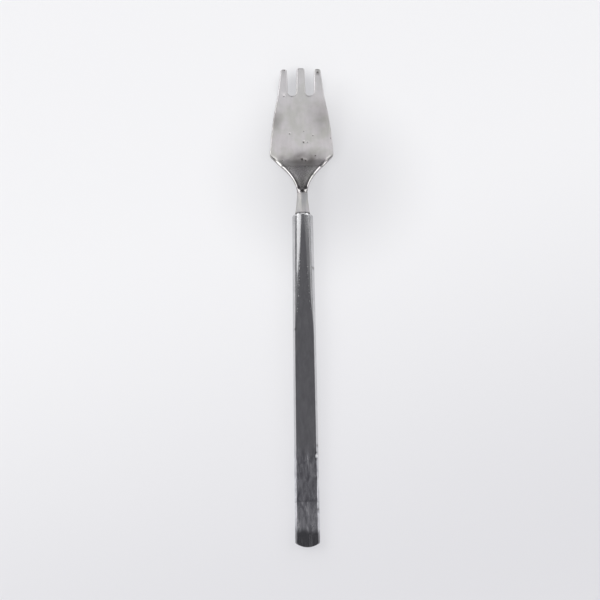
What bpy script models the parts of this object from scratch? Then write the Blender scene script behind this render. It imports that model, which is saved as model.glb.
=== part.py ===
# Salad fork with a hollow handle, modelled lying on a table with its tines up.
# Every piece is drawn in the handle's own frame: the origin is the middle of the handle's mouth,
# +Y runs along the handle towards the tines and +Z is up. An empty then tilts the whole fork until
# the handle's tail and the underside of the bowl both touch the table at Z = 0.

import math

import bmesh
import bpy
import numpy as np
from mathutils import Vector
from mathutils.geometry import delaunay_2d_cdt

MM = 0.001

# Handle: two pressed halves that meet in a seam at mid-thickness
HANDLE_LENGTH = 123.0 * MM
HANDLE_MOUTH_WIDTH = 7.2 * MM
HANDLE_TAIL_WIDTH = 8.5 * MM
HANDLE_MOUTH_THICKNESS = 4.4 * MM
HANDLE_TAIL_THICKNESS = 3.2 * MM
WIDTH_FADE = 2.5              # how early the handle reaches its full width, as a power
MOUTH_SLANT = 0.95 * MM       # how far the sides lean in from the seam, at the mouth
TAIL_SLANT = 0.75 * MM        # the same towards the tail
TAIL_SIDE = 0.2 * MM          # the same at the tail's end, where the top runs out to the corners
TAIL_SIDE_RUN = 6.0 * MM
BROW_WIDTH = 0.7 * MM         # rounding between side and bevel, at the mouth
LEAST_BROW = 0.06 * MM        # what is left of it at the tail
BEVEL_WIDTH = 1.4 * MM        # curved bevel between brow and flat, at the mouth
LEAST_BEVEL = 0.08 * MM       # what is left of it at the tail
BEVEL_RUN = 46.0 * MM         # how far from the mouth the bevel reaches
LEAST_SLOPE = 0.5             # share of its slopes that is left at the tail
BROW_FOOT = math.radians(45.0)
BEVEL_FOOT = math.radians(25.0)
BEVEL_CROWN = math.radians(8.0)
MOUTH_CORNER = 1.2 * MM       # plan radius of the front corners
CHAMFER_RUN = 0.6 * MM        # chamfer round the mouth
CHAMFER_DROP = 0.36 * MM
TAIL_BULGE = 2.0 * MM         # how far the tail's arc stands out
TAIL_CORNER = 1.3 * MM        # plan radius of the tail's corners
TAIL_UNDERCUT = 1.5 * MM      # how far the tail's end leans in from the top to the underside
SHELL_WALL = 0.6 * MM
SEAM_GAP = 0.1 * MM           # film of brazing metal between the halves

# Neck: a round-topped rod that flares to meet the handle
NECK_RUN = 7.6 * MM
NECK_MOUTH_WIDTH = 5.3 * MM
NECK_MOUTH_THICKNESS = 3.4 * MM
NECK_WAIST_WIDTH = 3.8 * MM
NECK_WAIST_THICKNESS = 3.0 * MM
NECK_FLARE = 1.5              # how late the flare opens, as a power
NECK_SIDE = 0.6 * MM          # height of the upright sides between the round top and bottom
JOINT_GAP = 0.1 * MM          # film of brazing metal between neck and handle

# Shoulder, bowl and blade: a blank of varying thickness, bent twice
NECK_BEND_RADIUS = 7.0 * MM
SHOULDER_DROP = math.radians(21.0)
SHOULDER_LENGTH = 16.5 * MM   # from the neck to the widest line, measured level
FOLD_BACK = 2.5 * MM          # how far the bowl's lowest line lies behind the widest line
BOWL_RADIUS = 7.0 * MM
BLADE_RISE = math.radians(13.0)
BLADE_LENGTH = 31.8 * MM      # from the widest line to the tips, measured level
SHOULDER_WIDTH = 23.2 * MM
SHOULDER_HOLLOW = 6.8 * MM    # how far the waist runs on before the shoulder curves out
SHOULDER_CORNER = 1.0 * MM
SIDE_BULGE = 0.45 * MM        # bow of the blade's sides
STEP_RUN = 0.6 * MM           # length of the step from the neck down to the shoulder
SHOULDER_THICKNESS = 2.1 * MM
BOWL_THICKNESS = 1.9 * MM
TIP_THICKNESS = 1.3 * MM
EDGE_ROUND = 0.45 * MM        # rounding of the blade's edges
SHOULDER_ROUND = 1.5 * MM     # the fuller rounding along the shoulder
ROUND_FADE = 2.5 * MM         # length over which the one turns into the other
EDGE_FLAT = 0.15 * MM         # half of what the rounding leaves of the edge's height
BLEND_RUN = 2.2 * MM          # length over which the round neck turns into the flat blank
DISH_DEPTH = 0.6 * MM         # hollow across the shoulder
DISH_RUN = 1.2 * MM           # length over which the hollow opens below the neck
DISH_END = 3.0 * MM           # where it has run out, behind the widest line
DISH_FADE = 9.0 * MM          # length over which it runs out

# Tines, from the middle outwards
MIDDLE_TIP_WIDTH = 2.9 * MM
MIDDLE_ROOT_WIDTH = 3.4 * MM
SLOT_MOUTH_WIDTH = 3.5 * MM
SLOT_ROOT_WIDTH = 3.0 * MM
OUTER_TIP_WIDTH = 2.3 * MM
OUTER_ROOT_WIDTH = 3.8 * MM
TINE_LENGTH = 10.0 * MM       # from the slot roots to the middle tip
OUTER_TINE_SETBACK = 0.35 * MM
TINE_CORNER = 0.85 * MM
CORNER_SHARE = 0.4            # the most of a tip's width that one corner may take

# Inside the handle
TANG_LENGTH = 52.0 * MM
TANG_SOCKET = 3.0 * MM        # how far the tang's root runs into the neck
TANG_NOTCH = 0.5 * MM         # depth of the notches that key the tang into the cement
TANG_NOTCHES = 4
CEMENT_SIDE = 1.1 * MM        # cement beside the tang
CEMENT_FACE = 0.65 * MM       # cement above and below the tang
CEMENT_TAIL = 6.0 * MM        # cement past the tang's end
BEAD_WIDTH = 0.45 * MM
BEAD_FACE = 0.2 * MM          # height of the side towards the seam
BEAD_HEIGHT = 0.6 * MM        # on the side towards the middle
INNER_FIT = 0.2 * MM          # room between the pieces inside the handle

# Facets
CURVE_STEPS = 10              # points on a long curve
CORNER_STEPS = 4              # points on a small corner
EDGE_LOOPS = 4                # loops of points over the rounding of an edge
HANDLE_STATIONS = 26
BROW_LEVELS = 2               # rings over the brow
BEVEL_LEVELS = 3              # rings over the bevel
ROW_SPACING = 1.25 * MM       # points over the blade, along the fork
COLUMN_SPACING = 1.9 * MM     # points over the blade, across it
LEAST_COLUMNS = 3             # on each side of the middle, where the blank is narrow
POINT_ROOM = 0.3 * MM         # least room between those points and the edge's loops
MERGE_ROOM = 0.02 * MM        # outline points closer than this are one point
WELD_ROOM = 0.001 * MM
SHARP_ANGLE = math.radians(35.0)


def smooth_step(share):
    share = min(max(share, 0.0), 1.0)
    return share * share * (3.0 - 2.0 * share)


def curve_points(start, control, end, steps):
    # A curve that leaves start towards control and reaches end from control
    points = []
    for i in range(steps + 1):
        t = i / steps
        a, b, c = (1.0 - t) ** 2, 2.0 * t * (1.0 - t), t * t
        points.append((a * start[0] + b * control[0] + c * end[0],
                       a * start[1] + b * control[1] + c * end[1]))
    return points


def arc_points(centre, radius, first_angle, last_angle, steps):
    points = []
    for i in range(steps + 1):
        angle = first_angle + (last_angle - first_angle) * i / steps
        points.append((centre[0] + radius * math.cos(angle), centre[1] + radius * math.sin(angle)))
    return points


def straight_points(start, end):
    middle = ((start[0] + end[0]) / 2.0, (start[1] + end[1]) / 2.0)
    return curve_points(start, middle, end, CORNER_STEPS)


def towards(start, end, distance):
    length = math.dist(start, end)
    return (start[0] + (end[0] - start[0]) * distance / length,
            start[1] + (end[1] - start[1]) * distance / length)


def corner_points(before, corner, after, size):
    return curve_points(towards(corner, before, size), corner, towards(corner, after, size), CORNER_STEPS)


def make_material(name, colour, roughness, metallic=1.0):
    material = bpy.data.materials.new(name)
    material.use_nodes = True
    shader = material.node_tree.nodes["Principled BSDF"]
    shader.inputs["Base Color"].default_value = (*colour, 1.0)
    shader.inputs["Roughness"].default_value = roughness
    shader.inputs["Metallic"].default_value = metallic
    return material


def add_piece(name, mesh_builder, material, frame):
    # Turn a bmesh into a named object that hangs on the fork's frame
    bmesh.ops.recalc_face_normals(mesh_builder, faces=mesh_builder.faces[:])
    mesh = bpy.data.meshes.new(name)
    mesh_builder.to_mesh(mesh)
    mesh_builder.free()
    mesh.materials.append(material)
    mesh.shade_smooth()
    mesh.set_sharp_from_angle(angle=SHARP_ANGLE)
    piece = bpy.data.objects.new(name, mesh)
    bpy.context.scene.collection.objects.link(piece)
    piece.parent = frame
    return piece


def use_as_tool(piece):
    piece.hide_render = True
    piece.display_type = "WIRE"


def add_boolean(piece, tool, operation):
    cut = piece.modifiers.new(operation.lower(), "BOOLEAN")
    cut.object = tool
    cut.operation = operation
    cut.solver = "EXACT"


# The head's side profile: level neck, a bend down, a straight drop, the bowl's bend, a rising blade
BEND_END = NECK_RUN + NECK_BEND_RADIUS * math.sin(SHOULDER_DROP)
BOWL_LINE = NECK_RUN + SHOULDER_LENGTH
FOLD_LINE = BOWL_LINE - FOLD_BACK
BOWL_START = FOLD_LINE - BOWL_RADIUS * math.sin(SHOULDER_DROP)
BOWL_END = FOLD_LINE + BOWL_RADIUS * math.sin(BLADE_RISE)
TIP_LINE = BOWL_LINE + BLADE_LENGTH
ROOT_LINE = TIP_LINE - TINE_LENGTH
BEND_FALL = NECK_BEND_RADIUS * (1.0 - math.cos(SHOULDER_DROP))
BOWL_FALL = BEND_FALL + (BOWL_START - BEND_END) * math.tan(SHOULDER_DROP)
BOWL_DEPTH = BOWL_FALL + BOWL_RADIUS * (1.0 - math.cos(SHOULDER_DROP))
BOWL_RISE = BOWL_RADIUS * (1.0 - math.cos(BLADE_RISE))


def profile(y):
    # Height of the blank's middle and its slope, at a distance from the mouth
    if y <= NECK_RUN:
        return 0.0, 0.0
    if y <= BEND_END:
        angle = -math.asin((y - NECK_RUN) / NECK_BEND_RADIUS)
        return -NECK_BEND_RADIUS * (1.0 - math.cos(angle)), angle
    if y <= BOWL_START:
        return -BEND_FALL - (y - BEND_END) * math.tan(SHOULDER_DROP), -SHOULDER_DROP
    if y <= BOWL_END:
        angle = math.asin((y - FOLD_LINE) / BOWL_RADIUS)
        return -BOWL_DEPTH + BOWL_RADIUS * (1.0 - math.cos(angle)), angle
    return -BOWL_DEPTH + BOWL_RISE + (y - BOWL_END) * math.tan(BLADE_RISE), BLADE_RISE


def neck_flare(y):
    return max(1.0 - y / NECK_RUN, 0.0) ** NECK_FLARE


def neck_half_width(y):
    return (NECK_WAIST_WIDTH + (NECK_MOUTH_WIDTH - NECK_WAIST_WIDTH) * neck_flare(y)) / 2.0


def half_thickness(y):
    # The neck steps down to the shoulder, then the blank thins evenly to the bowl and to the tips
    neck = NECK_WAIST_THICKNESS + (NECK_MOUTH_THICKNESS - NECK_WAIST_THICKNESS) * neck_flare(y)
    if y <= BOWL_LINE:
        share = max(y - NECK_RUN, 0.0) / (BOWL_LINE - NECK_RUN)
        blank = SHOULDER_THICKNESS + (BOWL_THICKNESS - SHOULDER_THICKNESS) * share
    else:
        share = (y - BOWL_LINE) / BLADE_LENGTH
        blank = BOWL_THICKNESS + (TIP_THICKNESS - BOWL_THICKNESS) * share
    step = smooth_step((y - NECK_RUN) / STEP_RUN)
    return (neck + (blank - neck) * step) / 2.0


def edge_round(y):
    return EDGE_ROUND + (SHOULDER_ROUND - EDGE_ROUND) * smooth_step((BOWL_LINE - y) / ROUND_FADE)


def tip_corner(width):
    return min(TINE_CORNER, CORNER_SHARE * width)


def head_outline():
    # Right half of the blank, from the joint with the handle round to the middle of the tips
    waist = NECK_WAIST_WIDTH / 2.0
    neck = [(neck_half_width(NECK_RUN * i / CURVE_STEPS), NECK_RUN * i / CURVE_STEPS)
            for i in range(CURVE_STEPS)]

    root_radius = SLOT_ROOT_WIDTH / 2.0
    middle_root = (MIDDLE_ROOT_WIDTH / 2.0, ROOT_LINE + root_radius)
    outer_root = (middle_root[0] + SLOT_ROOT_WIDTH, middle_root[1])
    root_side = (outer_root[0] + OUTER_ROOT_WIDTH, ROOT_LINE)
    middle_tip = (MIDDLE_TIP_WIDTH / 2.0, TIP_LINE)
    inner_tip = (middle_tip[0] + SLOT_MOUTH_WIDTH, TIP_LINE - OUTER_TINE_SETBACK)
    outer_tip = (inner_tip[0] + OUTER_TIP_WIDTH, inner_tip[1])

    corner = (SHOULDER_WIDTH / 2.0, BOWL_LINE)
    hollow = (waist, NECK_RUN + SHOULDER_HOLLOW)
    bow = ((corner[0] + root_side[0]) / 2.0 + 2.0 * SIDE_BULGE, (corner[1] + root_side[1]) / 2.0)
    shoulder = curve_points((waist, NECK_RUN), hollow, towards(corner, hollow, SHOULDER_CORNER), CURVE_STEPS)
    shoulder_corner = corner_points(hollow, corner, bow, SHOULDER_CORNER)
    side = curve_points(towards(corner, bow, SHOULDER_CORNER), bow, root_side, CURVE_STEPS)

    outer_size = tip_corner(OUTER_TIP_WIDTH)
    outer_corners = corner_points(root_side, outer_tip, inner_tip, outer_size)
    outer_corners += corner_points(outer_tip, inner_tip, outer_root, outer_size)
    tine_side = straight_points(root_side, outer_corners[0])
    outer_wall = straight_points(outer_corners[-1], outer_root)
    root_centre = (middle_root[0] + root_radius, middle_root[1])
    root_arc = arc_points(root_centre, root_radius, 0.0, -math.pi, CURVE_STEPS)
    middle_corner = corner_points(middle_root, middle_tip, (0.0, TIP_LINE), tip_corner(MIDDLE_TIP_WIDTH))
    middle_wall = straight_points(middle_root, middle_corner[0])

    path = []
    for run in (neck, shoulder, shoulder_corner, side, tine_side, outer_corners, outer_wall, root_arc,
                middle_wall, middle_corner):
        for point in run:
            if not path or math.dist(path[-1], point) > MERGE_ROOM:
                path.append(point)
    return path


def inset_loop(loop, share):
    # The same closed loop moved in by a share of the edge's rounding; the loop runs anticlockwise
    moved = []
    for i, point in enumerate(loop):
        before = loop[i - 1]
        after = loop[(i + 1) % len(loop)]
        along = Vector((after[0] - before[0], after[1] - before[1])).normalized()
        distance = edge_round(point[1]) * share
        moved.append((point[0] - along.y * distance, point[1] + along.x * distance))
    return moved


def distance_to_path(points, path):
    # Least distance from each point to an open path of straight pieces
    points = np.asarray(points)[:, None, :]
    starts = np.asarray(path[:-1])[None, :, :]
    runs = np.asarray(path[1:])[None, :, :] - starts
    share = ((points - starts) * runs).sum(2) / (runs * runs).sum(2)
    nearest = starts + runs * np.clip(share, 0.0, 1.0)[:, :, None]
    return np.sqrt(((points - nearest) ** 2).sum(2)).min(1)


def blank_surface(x, y, edge_distance, width):
    # Lower and upper height of the formed blank at one point
    middle, slope = profile(y)
    half = half_thickness(y) / math.cos(slope)
    on_blank = smooth_step((y - NECK_RUN) / BLEND_RUN)
    rounding = edge_round(y)
    run = width + (rounding - width) * on_blank
    drop = (half - NECK_SIDE / 2.0) * (1.0 - on_blank) + min(rounding, half - EDGE_FLAT) * on_blank
    inside = min(edge_distance / run, 1.0)
    crown = half - drop * (1.0 - math.sqrt(1.0 - (1.0 - inside) ** 2))
    dish = DISH_DEPTH * min((x / width) ** 2, 1.0)
    dish *= smooth_step((y - NECK_RUN) / DISH_RUN) * smooth_step((BOWL_LINE - DISH_END - y) / DISH_FADE)
    return middle + dish - crown, middle + dish + crown


def build_head(frame, material):
    right = head_outline()
    left = [(-x, y) for x, y in reversed(right)]
    edge = right + left
    joint_half = right[0][0]
    joint = [(joint_half * (2.0 * i / CURVE_STEPS - 1.0), 0.0) for i in range(1, CURVE_STEPS)]
    outline = edge + joint
    edge_loops = [outline]
    for loop in range(1, EDGE_LOOPS + 1):
        edge_loops.append(inset_loop(outline, 1.0 - math.cos(loop / EDGE_LOOPS * math.pi / 2.0)))

    widths = np.asarray([point for point in right if point[1] <= ROOT_LINE])
    points = [point for loop in edge_loops for point in loop]
    edges = []
    for number, loop in enumerate(edge_loops):
        first = number * len(outline)
        edges += [(first + i, first + (i + 1) % len(loop)) for i in range(len(loop))]

    inner = []
    rows = math.ceil(TIP_LINE / ROW_SPACING)
    for row in range(1, rows):
        y = TIP_LINE * row / rows
        half_width = np.interp(y, widths[:, 1], widths[:, 0])
        columns = max(math.ceil(half_width / COLUMN_SPACING), LEAST_COLUMNS)
        inner += [(half_width * column / columns, y) for column in range(1 - columns, columns)]
    room = distance_to_path(inner, outline + outline[:1])
    points += [point for point, gap in zip(inner, room) if gap > edge_round(point[1]) + POINT_ROOM]

    flat = delaunay_2d_cdt([Vector(point) for point in points], edges, [], 1, WELD_ROOM)
    places, faces = flat[0], flat[2]
    reach = distance_to_path([tuple(place) for place in places], edge)
    sheet = bmesh.new()
    lower = []
    upper = []
    for place, gap in zip(places, reach):
        half_width = float(np.interp(place.y, widths[:, 1], widths[:, 0]))
        low, high = blank_surface(place.x, place.y, gap, half_width)
        lower.append(sheet.verts.new((place.x, place.y, low)))
        upper.append(sheet.verts.new((place.x, place.y, high)))
    for face in faces:
        sheet.faces.new([upper[i] for i in face])
        sheet.faces.new([lower[i] for i in reversed(face)])
    twin = {id(top): bottom for top, bottom in zip(upper, lower)}
    rim = [side for side in sheet.edges if side.is_boundary and id(side.verts[0]) in twin]
    for side in rim:
        start, end = side.verts
        sheet.faces.new((start, end, twin[id(end)], twin[id(start)]))
    return add_piece("fork_head", sheet, material, frame)


# The handle's form: half-width, half-thickness and section along it, from the mouth to the tail
HANDLE_FRONT = -JOINT_GAP
HANDLE_BACK = HANDLE_FRONT - HANDLE_LENGTH


def handle_share(y):
    return min(max(1.0 + y / HANDLE_LENGTH, 0.0), 1.0)


def handle_half_width(y):
    narrowing = (HANDLE_TAIL_WIDTH - HANDLE_MOUTH_WIDTH) * handle_share(y) ** WIDTH_FADE
    return (HANDLE_TAIL_WIDTH - narrowing) / 2.0


def handle_half_height(y):
    thicker = (HANDLE_MOUTH_THICKNESS - HANDLE_TAIL_THICKNESS) * (1.0 + y / HANDLE_LENGTH)
    return (HANDLE_TAIL_THICKNESS + thicker) / 2.0


def handle_section(y):
    # Inset from the widest place and height, from the seam over side, brow and bevel to the flat
    top = handle_half_height(y)
    near = max(1.0 - (HANDLE_FRONT - y) / BEVEL_RUN, 0.0)      # share of the bevel that is left
    slant = TAIL_SLANT + (MOUTH_SLANT - TAIL_SLANT) * near
    side = slant + (TAIL_SIDE - slant) * smooth_step((HANDLE_BACK + TAIL_SIDE_RUN - y) / TAIL_SIDE_RUN)
    brow = LEAST_BROW + BROW_WIDTH * near
    bevel = LEAST_BEVEL + BEVEL_WIDTH * near
    slope = max(near, LEAST_SLOPE)
    steep, foot, crown = math.tan(BROW_FOOT), math.tan(BEVEL_FOOT) * slope, math.tan(BEVEL_CROWN) * slope
    middle = top - bevel * (foot + crown) / 2.0
    low = middle - brow * (steep + foot) / 2.0
    brow_end = side + brow
    brow_control = (side + brow / 2.0, low + steep * brow / 2.0)
    bevel_control = (brow_end + bevel / 2.0, middle + foot * bevel / 2.0)
    points = [(0.0, 0.0)] + curve_points((side, low), brow_control, (brow_end, middle), BROW_LEVELS)
    return points + curve_points((brow_end, middle), bevel_control, (brow_end + bevel, top), BEVEL_LEVELS)[1:]


def handle_plan(inset, front, back):
    # Right half of the plan, inset from the outside, from the front corner to the middle of the tail
    corner = max(MOUTH_CORNER - inset, EDGE_ROUND)
    front_half = handle_half_width(front) - inset
    front_corner = arc_points((front_half - corner, front - corner), corner, math.pi / 2.0, 0.0, CORNER_STEPS)

    tail_half = HANDLE_TAIL_WIDTH / 2.0
    radius = (tail_half ** 2 + TAIL_BULGE ** 2) / (2.0 * TAIL_BULGE) - inset
    tail_corner = max(TAIL_CORNER - inset, EDGE_ROUND)
    side_half = handle_half_width(back) - inset
    centre_y = back + radius
    corner_x = side_half - tail_corner
    corner_y = centre_y - math.sqrt((radius - tail_corner) ** 2 - corner_x ** 2)
    turn = math.atan2(corner_y - centre_y, corner_x)

    plan = list(front_corner)
    side_start = front - corner
    for i in range(1, HANDLE_STATIONS):
        y = side_start + (corner_y - side_start) * i / HANDLE_STATIONS
        plan.append((handle_half_width(y) - inset, y))
    plan += arc_points((corner_x, corner_y), tail_corner, 0.0, turn, CORNER_STEPS)
    plan += arc_points((0.0, centre_y), radius, turn, -math.pi / 2.0, CORNER_STEPS + 1)[1:]
    return [(max(x, 0.0), y) for x, y in plan]


def handle_ring(plan, inset_face, level, floor, side):
    # One closed ring of the handle's form; side is 1 above the seam and -1 below
    front, back = plan[0][1], plan[-1][1]
    ring = []
    for x, y in plan:
        inset, height = handle_section(y)[level]
        upward = height / handle_half_height(y)
        along = (front - y) / (front - back)
        lean = (1.0 - upward) / 3.0 if side > 0 else (1.0 + 2.0 * upward) / 3.0
        chamfer = CHAMFER_DROP * max(1.0 - (HANDLE_FRONT - y) / CHAMFER_RUN, 0.0)
        raised = floor + (height - inset_face * upward - floor - chamfer * upward) * (level > 0)
        ring.append((x * (1.0 - inset / handle_half_width(y)), y + TAIL_UNDERCUT * lean * along, side * raised))
    return ring + [(-x, y, z) for x, y, z in ring[-2::-1]]


def join_rings(body, first, second):
    for i in range(len(first)):
        j = (i + 1) % len(first)
        body.faces.new((first[i], first[j], second[j], second[i]))


def cap_ring(body, ring):
    # Fill a ring that is the same on both sides, in strips from left to right
    last = len(ring) - 1
    for i in range(len(ring) // 2):
        strip = [ring[i], ring[i + 1], ring[last - i - 1], ring[last - i]]
        body.faces.new(list(dict.fromkeys(strip)))


def form_rings(body, inset_side, inset_face, front, back, floor, side):
    # Rings of one half of a handle form, from the seam to the flat; side is 1 above, -1 below
    plan = handle_plan(inset_side, front, back)
    rings = []
    for level in range(BROW_LEVELS + BEVEL_LEVELS + 2):
        ring = handle_ring(plan, inset_face, level, floor, side)
        rings.append([body.verts.new(point) for point in ring])
    for lower, upper in zip(rings, rings[1:]):
        join_rings(body, lower, upper)
    cap_ring(body, rings[-1])
    return rings


CAVITY_FRONT = HANDLE_FRONT - SHELL_WALL
CAVITY_BACK = HANDLE_BACK + SHELL_WALL
BEAD_INSET = SHELL_WALL + INNER_FIT
CEMENT_INSET_SIDE = BEAD_INSET + BEAD_WIDTH + INNER_FIT
CEMENT_INSET_FACE = SHELL_WALL + INNER_FIT
TANG_HALF_WIDTH = HANDLE_MOUTH_WIDTH / 2.0 - CEMENT_INSET_SIDE - CEMENT_SIDE - INNER_FIT
TANG_HALF_HEIGHT = HANDLE_MOUTH_THICKNESS / 2.0 - CEMENT_INSET_FACE - CEMENT_FACE - INNER_FIT


def build_shell(name, side, frame, material):
    shell = bmesh.new()
    seam = SEAM_GAP / 2.0
    outside = form_rings(shell, 0.0, 0.0, HANDLE_FRONT, HANDLE_BACK, seam, side)
    inside = form_rings(shell, SHELL_WALL, SHELL_WALL, CAVITY_FRONT, CAVITY_BACK, seam, side)
    join_rings(shell, outside[0], inside[0])
    return add_piece(name, shell, material, frame)


def build_tang(name, room, frame, material):
    # The notched bar behind the neck, or the same bar with room round it to cut its socket
    half_width = TANG_HALF_WIDTH + room
    end = -TANG_LENGTH - room
    side = [(half_width, TANG_SOCKET)]
    for notch in range(1, TANG_NOTCHES + 1):
        centre = (half_width, -TANG_LENGTH * notch / (TANG_NOTCHES + 1))
        side += arc_points(centre, TANG_NOTCH, math.pi / 2.0, 1.5 * math.pi, CORNER_STEPS)
    side += corner_points(side[-1], (half_width, end), (0.0, end), TANG_HALF_WIDTH)
    outline = side + [(-x, y) for x, y in reversed(side)]
    bar = bmesh.new()
    half_height = TANG_HALF_HEIGHT + room
    low = [bar.verts.new((x, y, -half_height)) for x, y in outline]
    high = [bar.verts.new((x, y, half_height)) for x, y in outline]
    join_rings(bar, low, high)
    bar.faces.new(low)
    bar.faces.new(high)
    tool = add_piece(name, bar, material, frame)
    use_as_tool(tool)
    return tool


def build_cement(frame, material):
    cement = bmesh.new()
    front = CAVITY_FRONT - INNER_FIT
    back = -TANG_LENGTH - CEMENT_TAIL
    above = form_rings(cement, CEMENT_INSET_SIDE, CEMENT_INSET_FACE, front, back, 0.0, 1)
    below = form_rings(cement, CEMENT_INSET_SIDE, CEMENT_INSET_FACE, front, back, 0.0, -1)
    bmesh.ops.remove_doubles(cement, verts=above[0] + below[0], dist=WELD_ROOM)
    return add_piece("tang_cement", cement, material, frame)


def build_bead(frame, material):
    # The bead follows the inside of the seam down one side, round the tail and back up the other
    loops = []
    for inset in (BEAD_INSET, BEAD_INSET + BEAD_WIDTH):
        plan = handle_plan(inset, CAVITY_FRONT, HANDLE_BACK + TAIL_UNDERCUT / 3.0 + inset)
        run = plan[CORNER_STEPS + 1:]
        loops.append(run + [(-x, y) for x, y in reversed(run[:-1])])
    bead = bmesh.new()
    sections = []
    for wall, inner in zip(*loops):
        section = [(*wall, BEAD_FACE / 2.0), (*wall, -BEAD_FACE / 2.0),
                   (*inner, -BEAD_HEIGHT / 2.0), (*inner, BEAD_HEIGHT / 2.0)]
        sections.append([bead.verts.new(point) for point in section])
    for first, second in zip(sections, sections[1:]):
        join_rings(bead, first, second)
    bead.faces.new(sections[0])
    bead.faces.new(sections[-1])
    return add_piece("seam_braze", bead, material, frame)


def lowest(points, tilt):
    return min(y * math.sin(tilt) + z * math.cos(tilt) for x, y, z in points)


def rest_on_table(frame, head, pieces):
    # Tilt the fork until bowl and tail are level, then set it on the table, centred on the origin
    head_points = [vertex.co[:] for vertex in head.data.vertices]
    handle_points = [vertex.co[:] for piece in pieces for vertex in piece.data.vertices]
    tilt = 0.0
    turn = SHOULDER_DROP
    while abs(turn) * HANDLE_LENGTH > WELD_ROOM:
        if lowest(head_points, tilt) < lowest(handle_points, tilt):
            tilt += turn
        else:
            tilt -= turn
        turn /= 2.0
    along = [y * math.cos(tilt) - z * math.sin(tilt) for x, y, z in head_points + handle_points]
    frame.rotation_euler = (tilt, 0.0, 0.0)
    frame.location = (0.0, -(min(along) + max(along)) / 2.0, -lowest(head_points + handle_points, tilt))


def main():
    for thing in list(bpy.data.objects):
        bpy.data.objects.remove(thing, do_unlink=True)

    satin = make_material("satin_stainless", (0.62, 0.61, 0.60), 0.34)
    polished = make_material("polished_stainless", (0.60, 0.60, 0.61), 0.18)
    brazing = make_material("brazing_brass", (0.70, 0.48, 0.20), 0.35)
    grout = make_material("handle_cement", (0.34, 0.31, 0.27), 0.9, 0.0)

    frame = bpy.data.objects.new("fork_frame", None)
    bpy.context.scene.collection.objects.link(frame)

    head = build_head(frame, satin)
    upper = build_shell("handle_upper_shell", 1, frame, polished)
    lower = build_shell("handle_lower_shell", -1, frame, polished)
    cement = build_cement(frame, grout)
    build_bead(frame, brazing)

    tang = build_tang("tang_bar", 0.0, frame, satin)
    socket = build_tang("tang_socket", INNER_FIT, frame, satin)
    rest_on_table(frame, head, (upper, lower))
    add_boolean(head, tang, "UNION")
    for piece in (upper, lower, cement):
        add_boolean(piece, socket, "DIFFERENCE")


main()
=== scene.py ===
import math

import bmesh
import bpy
import numpy as np
from mathutils import Matrix, Vector
from mathutils.geometry import delaunay_2d_cdt


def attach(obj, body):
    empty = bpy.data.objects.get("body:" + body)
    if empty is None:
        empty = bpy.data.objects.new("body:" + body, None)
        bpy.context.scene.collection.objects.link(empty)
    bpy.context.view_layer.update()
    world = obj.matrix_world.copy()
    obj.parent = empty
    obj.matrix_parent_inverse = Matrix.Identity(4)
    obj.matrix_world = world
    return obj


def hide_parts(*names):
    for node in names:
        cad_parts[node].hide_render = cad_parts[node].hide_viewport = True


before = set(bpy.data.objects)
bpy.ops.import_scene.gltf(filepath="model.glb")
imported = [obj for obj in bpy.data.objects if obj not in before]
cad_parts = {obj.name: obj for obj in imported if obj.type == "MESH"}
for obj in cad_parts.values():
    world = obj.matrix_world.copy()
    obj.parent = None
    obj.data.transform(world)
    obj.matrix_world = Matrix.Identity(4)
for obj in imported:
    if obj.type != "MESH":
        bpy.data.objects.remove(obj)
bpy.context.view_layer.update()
scene = bpy.context.scene
mm = 0.001
print("frame loaded, nodes:", ", ".join(sorted(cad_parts)))


# small helpers

def hexColour(text):
    # sRGB hex to the linear values that sockets take
    steps = [int(text[i:i + 2], 16) / 255.0 for i in (0, 2, 4)]
    linear = [s / 12.92 if s <= 0.04045 else ((s + 0.055) / 1.055) ** 2.4 for s in steps]
    return (*linear, 1.0)


def patternScale(*sizes):
    # texture scale for a pattern of this real size in millimetres, or of these sizes along X, Y and Z
    scales = [1.0 / (size * mm) for size in sizes]
    return scales if len(scales) > 1 else scales[0]


def smoothStep(share):
    share = min(max(share, 0.0), 1.0)
    return share * share * (3.0 - 2.0 * share)


def addNode(tree, kind, inputs=None, **settings):
    # one node with its settings; an input is a plain value or another node's output
    node = tree.nodes.new("ShaderNode" + kind)
    for name, value in settings.items():
        setattr(node, name, value)
    for name, value in (inputs or {}).items():
        if isinstance(value, bpy.types.NodeSocket):
            tree.links.new(value, node.inputs[name])
        else:
            node.inputs[name].default_value = value
    return node


def curvePoints(start, control, end, steps):
    points = []
    for i in range(steps + 1):
        t = i / steps
        a, b, c = (1.0 - t) ** 2, 2.0 * t * (1.0 - t), t * t
        points.append((a * start[0] + b * control[0] + c * end[0],
                       a * start[1] + b * control[1] + c * end[1]))
    return points


def arcPoints(centre, radius, first, last, steps):
    turns = [first + (last - first) * i / steps for i in range(steps + 1)]
    return [(centre[0] + radius * math.cos(t), centre[1] + radius * math.sin(t)) for t in turns]


def towards(start, end, distance):
    length = math.dist(start, end)
    return (start[0] + (end[0] - start[0]) * distance / length,
            start[1] + (end[1] - start[1]) * distance / length)


def straightPoints(start, end, spacing):
    steps = max(math.ceil(math.dist(start, end) / spacing), 1)
    return [towards(start, end, math.dist(start, end) * i / steps) for i in range(steps + 1)]


def cornerPoints(before, corner, after, size, steps):
    return curvePoints(towards(corner, before, size), corner, towards(corner, after, size), steps)


def joinRings(body, first, second):
    for i in range(len(first)):
        j = (i + 1) % len(first)
        body.faces.new((first[i], first[j], second[j], second[i]))


def newPiece(name, body):
    bmesh.ops.recalc_face_normals(body, faces=body.faces[:])
    mesh = bpy.data.meshes.new(name)
    body.to_mesh(mesh)
    body.free()
    piece = bpy.data.objects.new(name, mesh)
    scene.collection.objects.link(piece)
    return piece


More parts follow.
